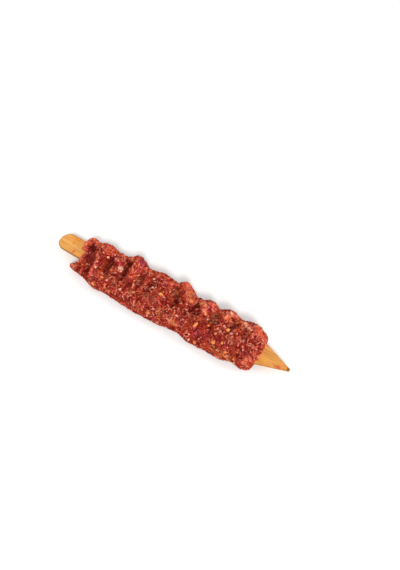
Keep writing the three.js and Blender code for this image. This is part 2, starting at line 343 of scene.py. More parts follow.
# Billows: size of the rounded lumps and how far they stand up, in mm.
BILLOWS = [(6.0, 0.3), (2.6, 0.38), (1.3, 0.38)]
# Grains: cell in mm, then the half-length and half-width of a grain as shares of the cell, how far
# the grain stands up in mm, and the share of cells that hold one.
CLUMPS = {"cell": 4.2, "long": (0.6, 1.0), "wide": (0.3, 0.5), "tall": (0.15, 0.6), "share": 0.7}
STRANDS = {"cell": 3.0, "long": (0.6, 1.0), "wide": (0.17, 0.27), "tall": (0.35, 0.8), "share": 0.8}
GRAINS = {"cell": 2.1, "long": (0.7, 1.0), "wide": (0.26, 0.42), "tall": (0.2, 0.55), "share": 0.8}
# Flow: size in mm of its swirls, and how strongly the grains follow the swirls, the bar's length at
# its low edge, and the named lines.
FLOW = {"size": 9.0, "swirl": 1.6, "low_edge": 1.2, "drawn": 4.0}
# The low edge lies under this height, and its relief fades to this share at the floor.
LOW_EDGE = 9 * MM
LOW_CALM = 0.5
# Height of the darker strip along the floor.
LOW_STRIP = 4 * MM
# Under this height only this share of the relief is left, and all of it is there a fade higher.
CONTACT_HEIGHT = 0.35 * MM
CONTACT_FADE = 3 * MM
CONTACT_RELIEF = 0.08
# Threads run where a noise is near 0: size of its waves in mm, how near, and their height in mm. A
# noise with waves of the patch size is added to an even share of them.
THREADS = {"size": 3.6, "near": 0.09, "tall": 0.35, "patch": 7.0, "even": 0.4, "patchy": 3.0}
# Streaks: how thick, how far they are drawn out each way in how long steps, and how tall, in mm.
STREAKS = {"size": 0.95, "reach": 2.4, "step": 0.6, "tall": 0.15}
# Shifts that keep the noises of the threads, their patches and the streaks apart.
THREAD_SHIFT = 31.0
PATCH_SHIFT = 57.0
STREAK_SHIFT = 91.0
# Where the broad form counts as ridge, which is painted lighter, and where as dent, which is painted with
# shade, from 0, highest, to 1, deepest.
RIDGE_BELOW = 0.35
DENT_ABOVE = 0.55
# How far each trait shifts the mince towards its palest colours, or its darkest under 0. On ridges
# the shift is painted light, and on the raised folds it is in part painted highlight; in the brown
# valleys, the dents and the grooves it is painted shade, and the strip along the floor is darker.
LIFT = {"fold": 0.23, "salmon": 0.14, "orange": 0.12, "ridge": 0.13,
        "brown_and_shade": -0.12, "dent": -0.08, "groove": -0.14, "low": -0.2}
# Wobbles: size of the waves and reach, in mm.
RIPPLE = {"size": 2.0, "reach": 0.5}
FOLD_WOBBLE = {"size": 3.0, "reach": 1.0}
TINT_WOBBLE = {"size": 4.0, "reach": 2.4}
# The key of a grid's cell holds its three numbers, none under 0, in this many bits each.
CELL_OFFSET = 4096
CELL_BITS = 13


def noise_at(points, size, shift=0.0):
    """Smooth noise at each point, with waves of about the given size in mm."""
    scaled = points / (size * MM) + shift
    return np.array([noise.noise(point) for point in scaled.tolist()])


def noise_vectors(points, size):
    """A smoothly changing vector at each point, with waves of about the given size in mm."""
    scaled = points / (size * MM)
    return np.array([noise.noise_vector(point)[:] for point in scaled.tolist()])


def wobbled(points, wobble):
    """Points moved to and fro, so that what is worked out from them has an uneven outline."""
    return points + wobble["reach"] * MM * noise_vectors(points, wobble["size"])


def cell_key(i, j, k):
    return (i << (2 * CELL_BITS)) + (j << CELL_BITS) + k


def cell_keys(points, cell):
    """The key of the grid's cell that each point lies in."""
    grid = np.floor(points / cell).astype(np.int64) + CELL_OFFSET
    return cell_key(grid[:, 0], grid[:, 1], grid[:, 2])


def scatter(points, cell, share, rng):
    """One point picked at random in a share of a grid's cells, as sorted cell keys and point numbers."""
    order = rng.permutation(len(points))
    keys, first = np.unique(cell_keys(points[order], cell), return_index=True)
    kept = rng.random(len(keys)) < share
    return keys[kept], order[first][kept]


def unit(vectors):
    return vectors / np.maximum(np.linalg.norm(vectors, axis=1, keepdims=True), TINY)


def flow_at(points, up, drawn):
    """Vectors across the way in which the mince was drawn out: in swirls, but along the bar at its
    low edge, and along the named lines beside them."""
    low = np.clip(1 - points[:, 2] / LOW_EDGE, 0, 1)[:, None]
    flow = FLOW["swirl"] * unit(noise_vectors(points, FLOW["size"]))
    flow += FLOW["low_edge"] * low * np.cross((1.0, 0.0, 0.0), up)
    return flow + FLOW["drawn"] * drawn[0][:, None] * np.cross(drawn[1], up)


def streaks(points, normals, drawn):
    """Fine streaks drawn out along the flow, from 0 to 1."""
    along = unit(np.cross(normals, flow_at(points, normals, drawn)))
    steps = np.arange(-STREAKS["reach"], STREAKS["reach"] + STREAKS["step"] / 2, STREAKS["step"])
    total = sum(noise_at(points + step * MM * along, STREAKS["size"], STREAK_SHIFT) for step in steps)
    return spread_out(total)


def billows(points):
    """Height of the rounded lumps over each point."""
    return sum(2 * reach * MM * np.abs(noise_at(points, size, size)) for size, reach in BILLOWS)


def grain_layer(points, normals, kind, drawn, rng):
    """Height of the highest grain over each point, and that grain's number, or 0 where there is none."""
    cell = kind["cell"] * MM
    keys, chosen = scatter(points, cell, kind["share"], rng)
    count = len(chosen)
    centres = points[chosen]
    up = normals[chosen]
    flow = flow_at(centres, up, [part[chosen] for part in drawn])
    along = unit(np.cross(up, flow + unit(rng.normal(size=(count, 3)))))
    across = np.cross(up, along)
    long = cell * rng.uniform(*kind["long"], count)
    wide = cell * rng.uniform(*kind["wide"], count)
    tall = MM * rng.uniform(*kind["tall"], count)
    moved = wobbled(points, RIPPLE)
    own_keys = cell_keys(points, cell)
    height = np.zeros(len(points))
    owner = np.zeros(len(points), dtype=np.int64)
    for neighbour in product((-1, 0, 1), repeat=3):
        key = own_keys + cell_key(*neighbour)
        slot = np.minimum(np.searchsorted(keys, key), count - 1)
        arm = moved - centres[slot]
        spread = (np.sum(arm * along[slot], axis=1) / long[slot]) ** 2
        spread += (np.sum(arm * across[slot], axis=1) / wide[slot]) ** 2
        spread += (np.sum(arm * up[slot], axis=1) / cell) ** 2
        rise = tall[slot] * np.sqrt(np.clip(1 - spread, 0, 1))
        higher = (keys[slot] == key) & (rise > height)
        height[higher] = rise[higher]
        owner[higher] = slot[higher] + 1
    return height, owner


def threads(points):
    """Fine curling threads: 1 on the crest of one, 0 between them."""
    waves = noise_at(wobbled(points, RIPPLE), THREADS["size"], THREAD_SHIFT)
    patch = noise_at(points, THREADS["patch"], PATCH_SHIFT)
    share = np.clip(THREADS["even"] + THREADS["patchy"] * patch, 0, 1)
    return np.clip(1 - np.abs(waves) / THREADS["near"], 0, 1) * share


def add_attribute(mesh, name, values):
    attribute = mesh.attributes.new(name, "FLOAT", "POINT")
    attribute.data.foreach_set("value", values.astype(np.float32))


def held_in_box(points):
    """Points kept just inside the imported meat's box."""
    return np.clip(points, np.array(MEAT_LOW) + BOX_MARGIN, np.array(MEAT_HIGH) - BOX_MARGIN)


def spread_out(values, low=5, high=95):
    """Values stretched so that most of them lie from 0 to 1."""
    bottom, top = np.percentile(values, (low, high))
    return np.clip((values - bottom) / (top - bottom), 0, 1)


def tree_of(points):
    """A tree that finds the nearest of some points."""
    tree = KDTree(len(points))
    for index, point in enumerate(points.tolist()):
        tree.insert(point, index)
    tree.balance()
    return tree


# The broad form: its mesh, smoothed a little, and what it is compared with, smoothed much more.
COARSE_VOXEL = 1.4 * MM
COARSE_ROUNDS = 6
LEVEL_ROUNDS = 90
# A point takes the mean depth of its nearest points of the coarse mesh, the nearer the more.
NEAREST_COUNT = 3
NEAREST_FLOOR = 0.1 * MM
# Percentiles of the depth that become 0 and 1.
HOLLOW_PERCENT = (2, 98)


def hollows(points):
    """How deep each point lies in a dent of the broad form: over 0 in dents, under 0 on ridges."""
    coarse = remeshed_meat("coarse", COARSE_VOXEL)
    edges = mesh_edges(coarse.data)
    form = smoothed(mesh_points(coarse.data), edges, COARSE_ROUNDS)
    set_points(coarse.data, form)
    levelled = smoothed(form, edges, LEVEL_ROUNDS)
    depth = np.sum((levelled - form) * mesh_normals(coarse.data), axis=1)
    bpy.data.objects.remove(coarse)
    tree = tree_of(form)
    nearest = [tree.find_n(point, NEAREST_COUNT) for point in points.tolist()]
    spots = np.array([[spot for _, spot, _ in found] for found in nearest])
    away = np.array([[distance for _, _, distance in found] for found in nearest])
    weight = 1 / (away + NEAREST_FLOOR)
    return np.sum(depth[spots] * weight, axis=1) / weight.sum(axis=1)


# Pale creases that stand up from the mince: the places seen that each passes, and its half-width, in mm.
FOLDS = [
    ([(-90.5, 14.5), (-94.5, 13.5), (-96.5, 9), (-96.5, 4.5), (-95, 0.8), (-91.5, 0.8)], 1.5),
    ([(-92, 13.5), (-86, 13.5), (-80.5, 11.5), (-76, 9.5), (-70, 8.5), (-66, 9.5)], 1.5),
    ([(-81, 15.5), (-75, 14.5), (-70, 14), (-66.5, 12)], 1.4),
    ([(-79.8, 8), (-79, 4), (-77.2, 1), (-74.8, -3.5), (-72.3, -9), (-70.3, -14.5),
      (-68.5, -21)], 1.2),
    ([(-89, -5), (-88, -10.5), (-87, -14.5)], 1.2),
    ([(-96, -19.8), (-91, -19), (-86, -19.5)], 1.4),
    ([(-64, 10.5), (-61, 7.5), (-56.5, 7), (-53, 4.5)], 1.2),
    ([(-61, 13), (-56, 14), (-50, 15.5), (-46, 19), (-42, 21), (-37, 21)], 1.5),
    ([(-41, 13.5), (-40, 9.5), (-39, 5.5), (-38, 1), (-35, -2), (-31, -4.5)], 1.6),
    ([(-36.5, 11.5), (-34.5, 8), (-33.5, 3.5), (-35, 0)], 1.4),
    ([(-27, 12), (-22.5, 14.5), (-17, 15.5), (-13, 13.5)], 1.7),
    ([(-20, 12), (-21.5, 5), (-20.5, -1), (-21.3, -6), (-20.5, -11)], 0.8),
    ([(-12.5, 12), (-6, 13.8), (0, 13), (4, 14.5)], 1.3),
    ([(-30.5, -12), (-30.5, -18), (-31.5, -22), (-28, -25), (-22, -26)], 1.3),
    ([(-22.5, -17.5), (-19, -16.8), (-16, -18.8), (-13.5, -20.5)], 1.1),
    ([(1.2, 9.5), (1.4, 6.5), (2.2, 3.5)], 1.2),
    ([(4.5, 14.5), (7.5, 17), (10, 20.5), (14, 21.5), (18, 19.5), (23, 15.5)], 1.6),
    ([(12, 17), (16.5, 13), (20, 8.5), (25, 7), (28.5, 9.5)], 1.8),
    ([(31.5, 14.5), (34, 12), (36.5, 8), (39.5, 5.8), (44, 4.5)], 1.6),
    ([(40.5, 15.5), (44, 13), (46.5, 10.8), (49.5, 11.2)], 1.3),
    ([(50, 14), (54, 13.5), (57.5, 10.5), (60.5, 9)], 1.4),
    ([(57, 16), (63.5, 15.5), (68.5, 15.5)], 1.4),
    ([(70, 13), (75, 14), (80.5, 13.5)], 1.5),
    ([(82, 11), (82.5, 15), (86, 17.8), (90, 16), (91.5, 11.5)], 1.3),
    ([(85, 13.5), (87, 10.5), (85.5, 8)], 1.2),
    ([(93, 14), (96.5, 12), (97.8, 8), (97, 4)], 1.3),
    ([(91, -4), (94.5, -6), (96.5, -9.5)], 1.1),
    ([(87, -11.5), (91, -12), (96, -11)], 1.2),
    ([(85, -16), (90, -15.5), (95, -16.5)], 1.3),
    ([(66, -16), (68, -18), (71.5, -19)], 1.2),
    ([(20, -9), (20.2, -14), (21.3, -20.5)], 0.9),
]
# Narrow valleys pressed into the mince, given in the same way.
GROOVES = [
    ([(-92, 6.5), (-86.5, 5.5), (-82, 0.5), (-79, -5.5), (-76.5, -11), (-74, -16.5),
      (-72.5, -21)], 2.6),
    ([(-61, 5), (-60, 0), (-60, -5), (-58, -8.5)], 2),
    ([(-44.5, 12), (-43, 5), (-42.5, -2), (-45, -8)], 2),
    ([(10, 13), (13, 6), (14.5, -2)], 1.8),
    ([(32.5, 9), (31, 4), (32.5, 0)], 1.6),
]
# Lines along which fingers have drawn out the mince: the places seen, and their half-width in mm.
COMBED = [
    [(-93, 10), (-86.5, 8.5), (-80.5, 4.5)],
    [(-91, 4.5), (-85, 2), (-79, -3.5)],
    [(-89, -3.5), (-83, -7), (-76.5, -13)],
    [(-88, -11.5), (-81, -14.5), (-73, -19.5)],
    [(-92, -19.5), (-85, -19), (-77, -22)],
    [(-56, 9), (-50.5, 7), (-44, 6.5)],
    [(-55, -3), (-48, -2.5), (-41, -3.5)],
    [(-12, 8), (-5, 9.5), (2, 9)],
    [(54, -5), (60, -9), (67, -13)],
    [(86, -2), (91, 0.5), (95, 5)],
    [(84, -7), (90, -7.5), (96, -4.5)],
]
COMBED_WIDTH = 3
# The share of the grains' relief that a valley or a patch of painted shade takes away.
CALM = 0.4
FOLD_HEIGHT = 0.8 * MM
GROOVE_DEPTH = 0.6 * MM
FOLD_STEP = 0.6 * MM


def through(stops, step):
    """Points about a step apart on a smooth curve through some stops."""
    stops = [2 * stops[0] - stops[1], *stops, 2 * stops[-1] - stops[-2]]
    curve = []
    for before, start, end, after in zip(stops, stops[1:], stops[2:], stops[3:]):
        for share in np.arange(0, 1, step / max((end - start).length, step)):
            bend = (end - before) * share + (2 * before - 5 * start + 4 * end - after) * share ** 2
            bend += (3 * start - before - 3 * end + after) * share ** 3
            curve.append(start + 0.5 * bend)
    return np.array([point[:] for point in curve])


def line_field(points, lines, sight):
    """How close each point lies to some lines, from 0 to 1, and the way that the nearest one runs."""
    curves = [through([sight.seen_at(x, y)[0] for x, y in places], FOLD_STEP) for places, _ in lines]
    tree = tree_of(np.concatenate(curves))
    ways = np.concatenate([unit(np.gradient(curve, axis=0)) for curve in curves])
    widths = np.concatenate([np.full(len(curve), width * MM) for curve, (_, width) in zip(curves, lines)])
    nearest = np.array([tree.find(point)[1:] for point in wobbled(points, FOLD_WOBBLE).tolist()])
    index = nearest[:, 0].astype(int)
    return np.exp(-(nearest[:, 1] / widths[index]) ** 2), ways[index]


# Patches of the mince with a colour of their own, and in the brown ones painted shade with a browner tone:
# places seen and radii in mm.
TINTS = {
    # Painted shade, browner, in the valleys and dents.
    "brown_and_shade": [
        (-88.5, 6.5, 4.4), (-84.5, 4.5, 4.8), (-81.5, 0, 4.2), (-79, -4.5, 3.8), (-77, -9, 3.6),
        (-75.2, -13, 3), (-73.5, -17, 2.6), (-80.5, -8, 3.4), (-84, -19.5, 3), (-61, 2.5, 4.6),
        (-60, -3, 4.6), (-59, -8, 3.6), (-44.5, 10, 3.8), (-43.5, 3.5, 3.4), (-44, -6.5, 4.4),
        (-41.5, -4, 3.2), (-25, 4.5, 3.6), (-23.5, -2.5, 2.2), (-13, 3.5, 3), (-14, -5, 2.8),
        (9.5, 12.5, 2.8), (12, 5.5, 3.2), (14.5, -1, 3), (31.5, 7.5, 3.6), (54, -6.5, 2.8), (69.5, 4, 2.6),
        (-69, -23.5, 2.6), (-31.5, -9, 3), (-6, -7, 3.4), (28, -5, 3.2), (-50.5, -7.5, 2.6),
        (-44.5, -14, 3.6),
    ],
    "salmon": [
        (-38, 13, 3), (-38, 6, 2.8), (-36.5, -1, 2.8), (-32.5, 3, 2.6), (16, 17.5, 3.8), (20, 14, 3.8),
        (35, 11.5, 3), (39.5, 7, 2.8), (-94.5, 13, 3.2), (-96, 6, 2.4), (-94, 0.5, 2.6), (-76.5, 1, 1.8),
        (-72.3, -8, 2.2), (-69.5, -16, 2.6), (-84, 12.5, 2.8), (-76, 13.5, 3), (-55, 15, 3), (87, 13, 4.4),
        (-20, 14, 3.4), (-69, -20, 2.6), (-87.5, -10, 2.8), (-87.5, -5.5, 2.2), (-95.5, 9, 3),
        (59.5, 13, 3), (77.5, 14, 3), (14, 19, 3.4), (-31, -20, 3.2), (-10, -12, 4.4), (-3.5, -8, 3.2),
        (-14, 14.5, 2.8), (2, 14, 3), (92, 14, 2.8), (47, 14, 2.6), (65, 16, 2.6), (-44, 15.5, 2.4),
        (94.5, -3, 3), (91.5, -15, 3.4), (24, -16.5, 3.2), (37, 10.5, 2.6), (-10, -20, 3.6),
    ],
    "orange": [
        (24.6, -16.8, 3.4), (25.4, 8.6, 2.6), (65.1, 0.7, 2.6), (59.4, 12.9, 2.8), (36.5, 11.5, 2.6),
        (7.9, -16, 2.6), (-60.3, -24.3, 2.6), (-1.1, -0.4, 2.4), (40.9, -8.6, 2), (21, 13, 3),
        (-92.5, -19, 2.8), (79, -18.5, 3), (83, -19, 3), (70, 12.5, 2.6), (66, -18.5, 3), (72.5, -18, 3),
    ],
    "flush": [
        (-92.5, -19.5, 3.2), (-88.5, -18.5, 2.2), (-95.5, 3, 2.2), (-96.5, 7, 2.4), (-95.5, 11.5, 2.6),
        (-93, 14.5, 2.6), (-86, 13, 2.2), (-80, 12, 2.2), (-72, 14, 2), (78, 13.6, 2.8), (36.5, 10.5, 3),
        (41.5, 5.5, 1.8), (-69.3, -17.5, 1.8), (14, 19, 2.8), (21, 14.5, 2), (59, 12.5, 2.8),
        (63, 14.5, 2), (92, -15.5, 2.4), (95.5, -2, 1.8), (-45.5, 15.5, 2.2), (-28, 13, 2.2),
        (-15, 14.5, 2.4), (1, 13.8, 2.2), (7.5, 16.5, 2.2), (90, 14, 2.8),
    ],
    "magenta": [
        (-34.6, 17.5, 3.6), (43.4, 11.7, 3), (-67, -17, 3.4), (29, -13, 4), (45.5, -14.5, 4.5),
        (-11, 9, 3), (-2, 10.5, 3.4), (-33, 10, 2.8), (82, 2, 3.4), (61, 4, 3.2), (-87, 0.5, 3),
        (-83.5, -5.5, 3.4), (-62, 8.5, 3), (-53.5, 6, 2.8), (70, -9, 3.6), (88, -7, 4), (90, 8, 3.2),
        (54, -12, 3.6),
    ],
    "tan": [
        (-26.8, -0.7, 3), (-12.5, -8.2, 2.2), (-52.8, -11.4, 2), (-26, -14, 2.6), (74.4, -5.7, 2.6),
        (8.5, 6, 2.4), (-45.5, -12, 2.2), (50.5, 7, 3), (67.5, 8, 2.4), (52, 2, 2.4),
    ],
    "purple": [
        (-34.8, 17.5, 3.4),
    ],
}


def tint_shares(points, sight):
    """For each tint, how far each point takes its colour, from 0 to 1."""
    moved = wobbled(points, TINT_WOBBLE)
    shares = {}
    for name, patches in TINTS.items():
        share = np.zeros(len(points))
        for x, y, radius in patches:
            centre, _ = sight.seen_at(x, y)
            away = np.linalg.norm(moved - np.array(centre), axis=1) / (radius * MM)
            share = np.maximum(share, np.exp(-(away ** 3)))
        shares[name] = share
    return shares


# The height in mm at which a place seen is given. What the camera sees through it is on the mince.
SIGHT_HEIGHT = 12.0


class Sight:
    """The surface of the mince, and what the camera sees of it."""

    def __init__(self, mesh):
        corners = [tuple(polygon.vertices) for polygon in mesh.polygons]
        self.tree = BVHTree.FromPolygons(mesh_points(mesh).tolist(), corners)

    def seen_at(self, x, y):
        """Point and normal seen through the place x, y at SIGHT_HEIGHT, both in mm."""
        aim = place(x, y, SIGHT_HEIGHT)
        point, normal, _, _ = self.tree.ray_cast(CAMERA_AT, (aim - CAMERA_AT).normalized())
        return (point, normal) if point else self.nearest(aim)

    def nearest(self, point):
        """Point and normal of the surface nearest to a point."""
        spot, normal, _, _ = self.tree.find_nearest(point)
        return spot, normal


def mince_traits(points, sight):
    """Where the mince is coloured, painted with shade, folded, grooved, high and painted lighter, hollow and
    painted with shade, low and calm, each from 0 to 1.
    """
    hollow = spread_out(hollows(points), *HOLLOW_PERCENT)
    traits = tint_shares(points, sight)
    traits["fold"], _ = line_field(points, FOLDS, sight)
    traits["groove"], _ = line_field(points, GROOVES, sight)
    # Ridges are painted lighter and dents darker, as light and shade on the broad form.
    traits["ridge"] = np.clip(1 - hollow / RIDGE_BELOW, 0, 1)
    traits["dent"] = np.clip((hollow - DENT_ABOVE) / (1 - DENT_ABOVE), 0, 1)
    traits["low"] = np.clip(1 - points[:, 2] / LOW_STRIP, 0, 1) * (1 - traits["flush"])
    traits["calm"] = np.maximum(traits["brown_and_shade"], traits["groove"])
    return traits


def grain_relief(points, normals, drawn, rng):
    """Height of lumps, grains, threads and streaks over each point, and what gives them their colours."""
    clump, clump_owner = grain_layer(points, normals, CLUMPS, drawn, rng)
    strand, strand_owner = grain_layer(points, normals, STRANDS, drawn, rng)
    grain, owner = grain_layer(points, normals, GRAINS, drawn, rng)
    owner = np.where(strand > grain, strand_owner + owner.max(), owner)
    thread = threads(points)
    streak = streaks(points, normals, drawn)
    height = billows(points) + clump + np.maximum(strand, grain) + THREADS["tall"] * MM * thread
    height += STREAKS["tall"] * MM * streak
    shades = {
        "tone": rng.random(owner.max() + 1)[owner],
        "kind": rng.random(owner.max() + 1)[owner],
        "clump_tone": rng.random(clump_owner.max() + 1)[clump_owner],
        "thread": thread,
        "streak": streak,
    }
    return height - height.mean(), shades


def stand_for_meat(piece):
    """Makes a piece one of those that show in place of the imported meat."""
    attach(piece, "root")
    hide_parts("meat")


def make_mince():
    """The mince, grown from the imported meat, with what its material reads at each point."""
    rng = np.random.default_rng(SEED)
    noise.seed_set(NOISE_SEED)
    piece = remeshed_meat("mince", VOXEL)
    mesh = piece.data
    points = smoothed(mesh_points(mesh), mesh_edges(mesh), SMOOTH_ROUNDS)
    set_points(mesh, points)
    normals = mesh_normals(mesh)
    even_sight = Sight(mesh)
    traits = mince_traits(points, even_sight)
    combed = [(places, COMBED_WIDTH) for places in COMBED]
    drawn = line_field(points, FOLDS + combed, even_sight)
    height, shades = grain_relief(points, normals, drawn, rng)
    low_share = np.clip(LOW_CALM + (1 - LOW_CALM) * points[:, 2] / LOW_EDGE, 0, 1)
    height *= low_share * (1 - CALM * traits["calm"])
    shades["raised"] = spread_out(height)
    height += FOLD_HEIGHT * traits["fold"] - GROOVE_DEPTH * traits["groove"]
    height *= np.clip((points[:, 2] - CONTACT_HEIGHT) / CONTACT_FADE, CONTACT_RELIEF, 1)
    set_points(mesh, held_in_box(points + normals * height[:, None]))
    # The lift paints light on ridges, in part highlight on folds, and shade in valleys, dents and grooves.
    shades["lift"] = sum(share * traits[name] for name, share in LIFT.items())
    shades["calm"] = traits["calm"]
    shades.update((name, traits[name]) for name in TINT_COLOURS)
    for name, values in shades.items():
        add_attribute(mesh, name, values)
    mesh.shade_smooth()
    stand_for_meat(piece)
    return piece


# ------------ bits set into the mince

# How far a bit's middle lies above the surface, or under it below 0, as a share of its half-height.
BIT_SINK = -0.05
# How far a bit swells and shrinks, as a share of its size, by a noise with waves as large as the
# bit, and how far apart in that noise two bits lie.
BIT_WOBBLE = 0.38
BIT_WAVES = 1 / MM
BIT_SHIFT = 7
BIT_SUBDIVISIONS = 2
# Height of a bit that shows one by one, as a share of its width.
BIT_TALL = 0.5
# Bits that show one by one: place seen, length and width in mm, turn in degrees.
NAMED_BITS = {
    "fat_bits": [
        (-49.2, 1.8, 6, 4, 20), (-35.3, -15.4, 3.6, 2.3, 60), (-11.4, 1.4, 2.4, 1.9, 0),
        (26.4, -0.7, 2.6, 2, 0), (70.5, 0.7, 2.8, 2.2, 20), (46.9, 1.1, 2.3, 1.9, 0),
        (6.8, 21, 2.6, 1.2, 70), (62, 3.6, 2.4, 1.8, 40),
    ],
    "pale_bits": [
        (-67.1, 5.1, 3.2, 2.6, 0), (-72.8, -4.1, 3, 2.4, 40), (-69.9, -9.6, 3.2, 2.2, -30),
        (-15.4, 9.1, 3.4, 2.6, 0), (-23.2, -11.6, 3.2, 2, 20), (1.4, -15.7, 3, 2.2, 50),
        (22.6, -9.9, 3, 2.2, 10), (-51.7, -14.9, 3, 2, 0), (78.4, 13.6, 4.6, 3, -20),
        (76, 15, 3.6, 2.6, 20), (80.8, 13, 3.4, 2.4, 0), (82.8, 12.4, 2.6, 1.8, 0),
        (61.2, 17.1, 4.2, 2, -30), (43.4, -22.5, 3, 2, 80), (-59.5, 7.5, 2.4, 1.8, 0),
    ],
    "pepper_bits": [
        (-60.3, -24.3, 4.2, 3, 0), (-57.4, -15, 4, 2.8, 15), (-50.3, -19.3, 3, 2.4, 60),
        (-42.8, -22.5, 3.2, 2.4, 0), (-1.1, -0.4, 4.6, 3, -10), (0, -20.9, 3.6, 3.2, 0),
        (61.6, -13.7, 4.2, 3.6, 50), (68.5, -10.2, 3.2, 2.8, 0), (59.4, -6.1, 3, 2.4, 80),
        (40.9, -8.6, 5.6, 2.6, 75), (50.5, -3.2, 2.4, 1.8, 0), (74.4, -15.7, 3, 2.2, 30),
        (48.7, -21.8, 3.8, 2.6, -20), (83, -17.1, 2.8, 2.2, 0), (85.1, -19.3, 2.6, 2, 40),
        (42.6, 4.3, 3, 2.2, 0), (25.4, 8.6, 3.6, 2.8, 30), (66.5, 2, 3.8, 2.8, 60),
    ],
}
# Bits strewn over the mince: how many, and the shortest and longest in mm, with few of the long ones.
STREWN_BITS = {"fat_bits": (14, 0.9, 1.6), "pale_bits": (460, 0.8, 2.6), "pepper_bits": (130, 0.9, 2.6)}
# Their width and height as shares of their length.
STREWN_WIDE = (0.35, 0.7)
STREWN_TALL = (0.25, 0.4)
# Where they may lie: above this height, and where the mince is less calm than this.
STREWN_ABOVE = 1.5 * MM
STREWN_CALM = 0.5


def open_places(mesh):
    """Places where bits and sinews may lie: clear of the floor and of the pressed valleys."""
    points = mesh_points(mesh)
    calm = rows_of(mesh.attributes["calm"].data, "value", 1, np.float32)[:, 0]
    return points[(points[:, 2] > STREWN_ABOVE) & (calm < STREWN_CALM)]


def ball():
    """Points and faces of a round ball of radius 1."""
    shape = bmesh.new()
    bmesh.ops.create_icosphere(shape, subdivisions=BIT_SUBDIVISIONS, radius=1.0)
    points = np.array([vertex.co[:] for vertex in shape.verts])
    faces = np.array([[vertex.index for vertex in face.verts] for face in shape.faces])
    shape.free()
    return points, faces


def seated(point, normal, turn, halves):
    """Where one bit sits: its middle, and its three half-axes as rows."""
    up = np.array(normal)
    ahead = np.array((math.cos(turn), math.sin(turn), 0.0))
    across = unit(np.cross(up, ahead)[None])[0]
    along = np.cross(across, up)
    axes = np.stack([along * halves[0], across * halves[1], up * halves[2]])
    return np.array(point) + up * halves[2] * BIT_SINK, axes


def bit_seats(name, sight, mesh, rng):
    """The seats of the bits that are named, then of those strewn over the mince. A named bit faces
    half way between the surface and the camera, so that it shows in the place where it is seen."""
    seats = []
    for x, y, length, width, turn in NAMED_BITS[name]:
        point, normal = sight.seen_at(x, y)
        facing = (normal + (CAMERA_AT - point).normalized()).normalized()
        halves = MM * np.array((length, width, BIT_TALL * width)) / 2
        seats.append(seated(point, facing, math.radians(turn), halves))
    count, shortest, longest = STREWN_BITS[name]
    places = open_places(mesh)
    for index in rng.integers(len(places), size=count):
        point, normal = sight.nearest(Vector(places[index]))
        length = shortest + (longest - shortest) * rng.random() ** 2
        halves = MM * length * np.array((1.0, rng.uniform(*STREWN_WIDE), rng.uniform(*STREWN_TALL))) / 2
        seats.append(seated(point, normal, rng.uniform(0, math.pi), halves))
    return seats


def make_bits(name, material, mince, sight, rng):
    """One kind of bit, all joined in one mesh."""
    shape, shape_faces = ball()
    points = []
    faces = []
    tones = []
    for centre, axes in bit_seats(name, sight, mince.data, rng):
        swell = 1 + BIT_WOBBLE * noise_at(shape, BIT_WAVES, BIT_SHIFT * len(faces))
        faces.append(shape_faces + len(faces) * len(shape))
        points.append(centre + (shape * swell[:, None]) @ axes)
        tones.append(np.full(len(shape), rng.random()))
    held = held_in_box(np.concatenate(points))
    mesh = mesh_from_arrays(name, held.tolist(), np.concatenate(faces).tolist())
    add_attribute(mesh, "tone", np.concatenate(tones))
    mesh.shade_smooth()
    mesh.materials.append(material)
    stand_for_meat(new_object(name, mesh))


# Sinews strewn over the mince: how many, steps in each, radius in mm, and how far one turns at each
# step, in radians: a curl of its own and a random wander.
SINEWS = {"count": 45, "steps": (5, 11), "radius": (0.16, 0.34), "curl": 0.5, "wander": 0.15}
SINEW_STEP = 0.7 * MM
SINEW_SIDES = 6
# How far the middle of a sinew lies above the surface, as a share of its radius.
SINEW_RISE = 0.3
# Sinews that show one by one: the places seen that each passes, in mm.
NAMED_SINEWS = [
    [(-8.5, 9.6), (-6, 8.2), (-3.5, 7), (-0.8, 7.2)],
    [(-7, 12.4), (-5, 11.8), (-3, 11.2), (-1.8, 9.8)],
    [(26.5, 15), (29, 13.5), (30.3, 10.5), (29.8, 7), (27.5, 5)],
    [(19.6, -9), (20, -13), (20.6, -17), (21.4, -21)],
    [(0.3, -14.6), (1.8, -16.4), (4.5, -14.8)],
    [(44, 13.5), (45.5, 11), (47.5, 10.6), (49.2, 11.6)],
    [(57.5, 16.3), (60.5, 16.2), (63.5, 16.6)],
    [(78.5, 0.8), (80.2, -0.8), (82, -1.8)],
    [(-79.4, 4), (-78.4, 1.8), (-77.2, -0.4)],
    [(71.5, -6), (74, -4.8), (76, -7.5)],
    [(-28.5, -1), (-27.2, 0.5), (-24.8, 0.2)],
    [(-24, -3), (-26, -3.6), (-27.5, -2.6)],
    [(6, 22), (7.2, 20.5), (8.2, 19.4)],
    [(86, 0.6), (89.5, 1.6), (92.5, 1)],
    [(62, -2.5), (64, -3.6), (66, -4.2)],
    [(-54.5, 15), (-53, 12.5), (-50.5, 12)],
    [(-19, -20), (-16.5, -21.5), (-13, -21)],
]
NAMED_SINEW_RADIUS = 0.34 * MM


def sinew_route(start, sight, rng):
    """A curling line that follows the surface, as points with their normals."""
    point, normal = sight.nearest(start)
    ahead = Vector(rng.normal(size=3)).cross(normal).normalized()
    curl = rng.normal() * SINEWS["curl"]
    route = []
    for _ in range(rng.integers(*SINEWS["steps"])):
        route.append((np.array(point), np.array(normal)))
        turn = Matrix.Rotation(curl + rng.normal() * SINEWS["wander"], 3, normal)
        ahead = (turn @ ahead).cross(normal)
        ahead = normal.cross(ahead).normalized()
        point, normal = sight.nearest(point + ahead * SINEW_STEP)
    return route


def named_route(places, sight):
    """A smooth line on the surface through some places seen, as points with their normals."""
    curve = through([sight.seen_at(x, y)[0] for x, y in places], SINEW_STEP)
    return [tuple(np.array(part) for part in sight.nearest(Vector(point))) for point in curve]


